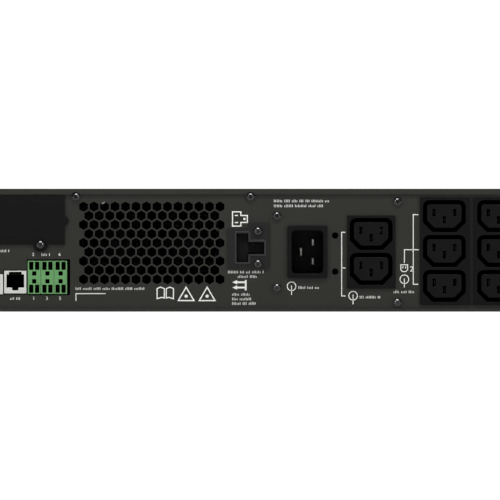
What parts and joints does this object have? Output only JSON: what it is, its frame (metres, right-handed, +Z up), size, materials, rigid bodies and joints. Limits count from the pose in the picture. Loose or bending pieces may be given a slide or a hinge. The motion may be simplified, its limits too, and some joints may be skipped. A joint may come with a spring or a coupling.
{
  "type": "rackmount ups",
  "caption": "Low, deep uninterruptible power supply for a 19-inch rack, with a battery drawer, turning display, cooling fans, mains inlet and outlets.",
  "frame": {"origin": "centre of the footprint at the height of the underside", "axes": "+Z up in a rack; +Y towards the rear with its connectors, -Y towards the display and the battery drawer; +X to the right of someone who faces the front"},
  "size_m": [0.4826, 0.6, 0.0865],
  "materials": {
    "powder_coat": "fine-textured powder coat, charcoal with a slight green cast",
    "cover_plastic": "satin black moulding",
    "connector_black": "black glass-filled polyamide, fine spark-eroded texture",
    "bezel_plastic": "charcoal moulding with a fine grain",
    "fan_plastic": "black, smooth",
    "port_grey": "light grey, smooth",
    "terminal_green": "green, smooth with worn light edges",
    "plated_steel": "zinc plated sheet",
    "black_screw": "black zinc, glossy",
    "contact_metal": "nickel plated contact",
    "circuit_board": "green solder resist",
    "heatsink_metal": "plain extrusion",
    "battery_block": null,
    "capacitor_sleeve": "dark sleeve",
    "winding": "enamelled copper",
    "display_glass": "dark clear lens",
    "button_rubber": "matte keys"
  },
  "bodies": {
    "case": {"ac_panel": "powder_coat", "ac_screw_1": "black_screw", "ac_screw_2": "black_screw", "ac_screw_3": "black_screw", "ac_screw_4": "black_screw", "battery_bay_wall": "plated_steel", "battery_socket": "connector_black", "bay_connector": "connector_black", "bus_capacitor_1": "capacitor_sleeve", "bus_capacitor_2": "capacitor_sleeve", "charger_heatsink": "heatsink_metal", "chassis_base": "powder_coat", "comm_board": "circuit_board", "control_board": "circuit_board", "cover_screw_left": "black_screw", "cover_screw_right": "black_screw", "fan_frame_left": "fan_plastic", "fan_frame_right": "fan_plastic", "front_bezel": "bezel_plastic", "front_frame": "powder_coat", "heavy_outlet_lower": "connector_black", "heavy_outlet_upper": "connector_black", "inlet_housing": "connector_black", "inlet_pin_earth": "contact_metal", "inlet_pin_line": "contact_metal", "inlet_pin_neutral": "contact_metal", "inverter_heatsink": "heatsink_metal", "modular_jack": "port_grey", "outlet_board": "circuit_board", "outlet_pair": "connector_black", "outlet_triple_inner": "connector_black", "outlet_triple_outer": "connector_black", "output_inductor": "winding", "power_board": "circuit_board", "rack_ear_left": "powder_coat", "rack_ear_right": "powder_coat", "rear_panel": "powder_coat", "relay_terminals": "terminal_green", "slot_cover": "cover_plastic", "slot_guide": "plated_steel", "slot_screw_inner": "black_screw", "slot_screw_outer": "black_screw", "socket_screw_lower": "black_screw", "socket_screw_upper": "black_screw", "top_cover": "powder_coat", "usb_port": "port_grey"},
    "drawer": {"drawer_fascia": "bezel_plastic", "battery_tray": "plated_steel", "battery_pack_front": "battery_block", "battery_pack_rear": "battery_block", "tray_connector": "connector_black"},
    "release": {"release_paddle": "bezel_plastic"},
    "display": {"display_pod": "bezel_plastic", "display_window": "display_glass"},
    "button_escape": {"button_escape": "button_rubber"},
    "button_down": {"button_down": "button_rubber"},
    "button_up": {"button_up": "button_rubber"},
    "button_enter": {"button_enter": "button_rubber"},
    "fan_left": {"fan_rotor_left": "fan_plastic"},
    "fan_right": {"fan_rotor_right": "fan_plastic"}
  },
  "joints": [
    {"name": "drawer_slide", "type": "slide", "parent": "case", "child": "drawer", "axis": [0, -1, 0], "range_m": [0, 0.3]},
    {"name": "release_pull", "type": "hinge", "parent": "drawer", "child": "release", "pos_m": [-0.064, -0.28, 0.0335], "axis": [-1, 0, 0], "range_deg": [0, 35], "stiffness_Nm_per_rad": 0.05},
    {"name": "display_turn", "type": "hinge", "parent": "case", "child": "display", "pos_m": [0.15615, -0.299, 0.04325], "axis": [0, 1, 0], "range_deg": [0, 90]},
    {"name": "press_escape", "type": "slide", "parent": "display", "child": "button_escape", "axis": [0, 1, 0], "range_m": [0, 0.0008], "stiffness_N_per_m": 600},
    {"name": "press_down", "type": "slide", "parent": "display", "child": "button_down", "axis": [0, 1, 0], "range_m": [0, 0.0008], "stiffness_N_per_m": 600},
    {"name": "press_up", "type": "slide", "parent": "display", "child": "button_up", "axis": [0, 1, 0], "range_m": [0, 0.0008], "stiffness_N_per_m": 600},
    {"name": "press_enter", "type": "slide", "parent": "display", "child": "button_enter", "axis": [0, 1, 0], "range_m": [0, 0.0008], "stiffness_N_per_m": 600},
    {"name": "fan_spin_left", "type": "hinge", "parent": "case", "child": "fan_left", "pos_m": [0.0919, 0.278, 0.0464], "axis": [0, 1, 0], "continuous": true},
    {"name": "fan_spin_right", "type": "hinge", "parent": "case", "child": "fan_right", "pos_m": [0.0413, 0.278, 0.0464], "axis": [0, 1, 0], "continuous": true}
  ]
}
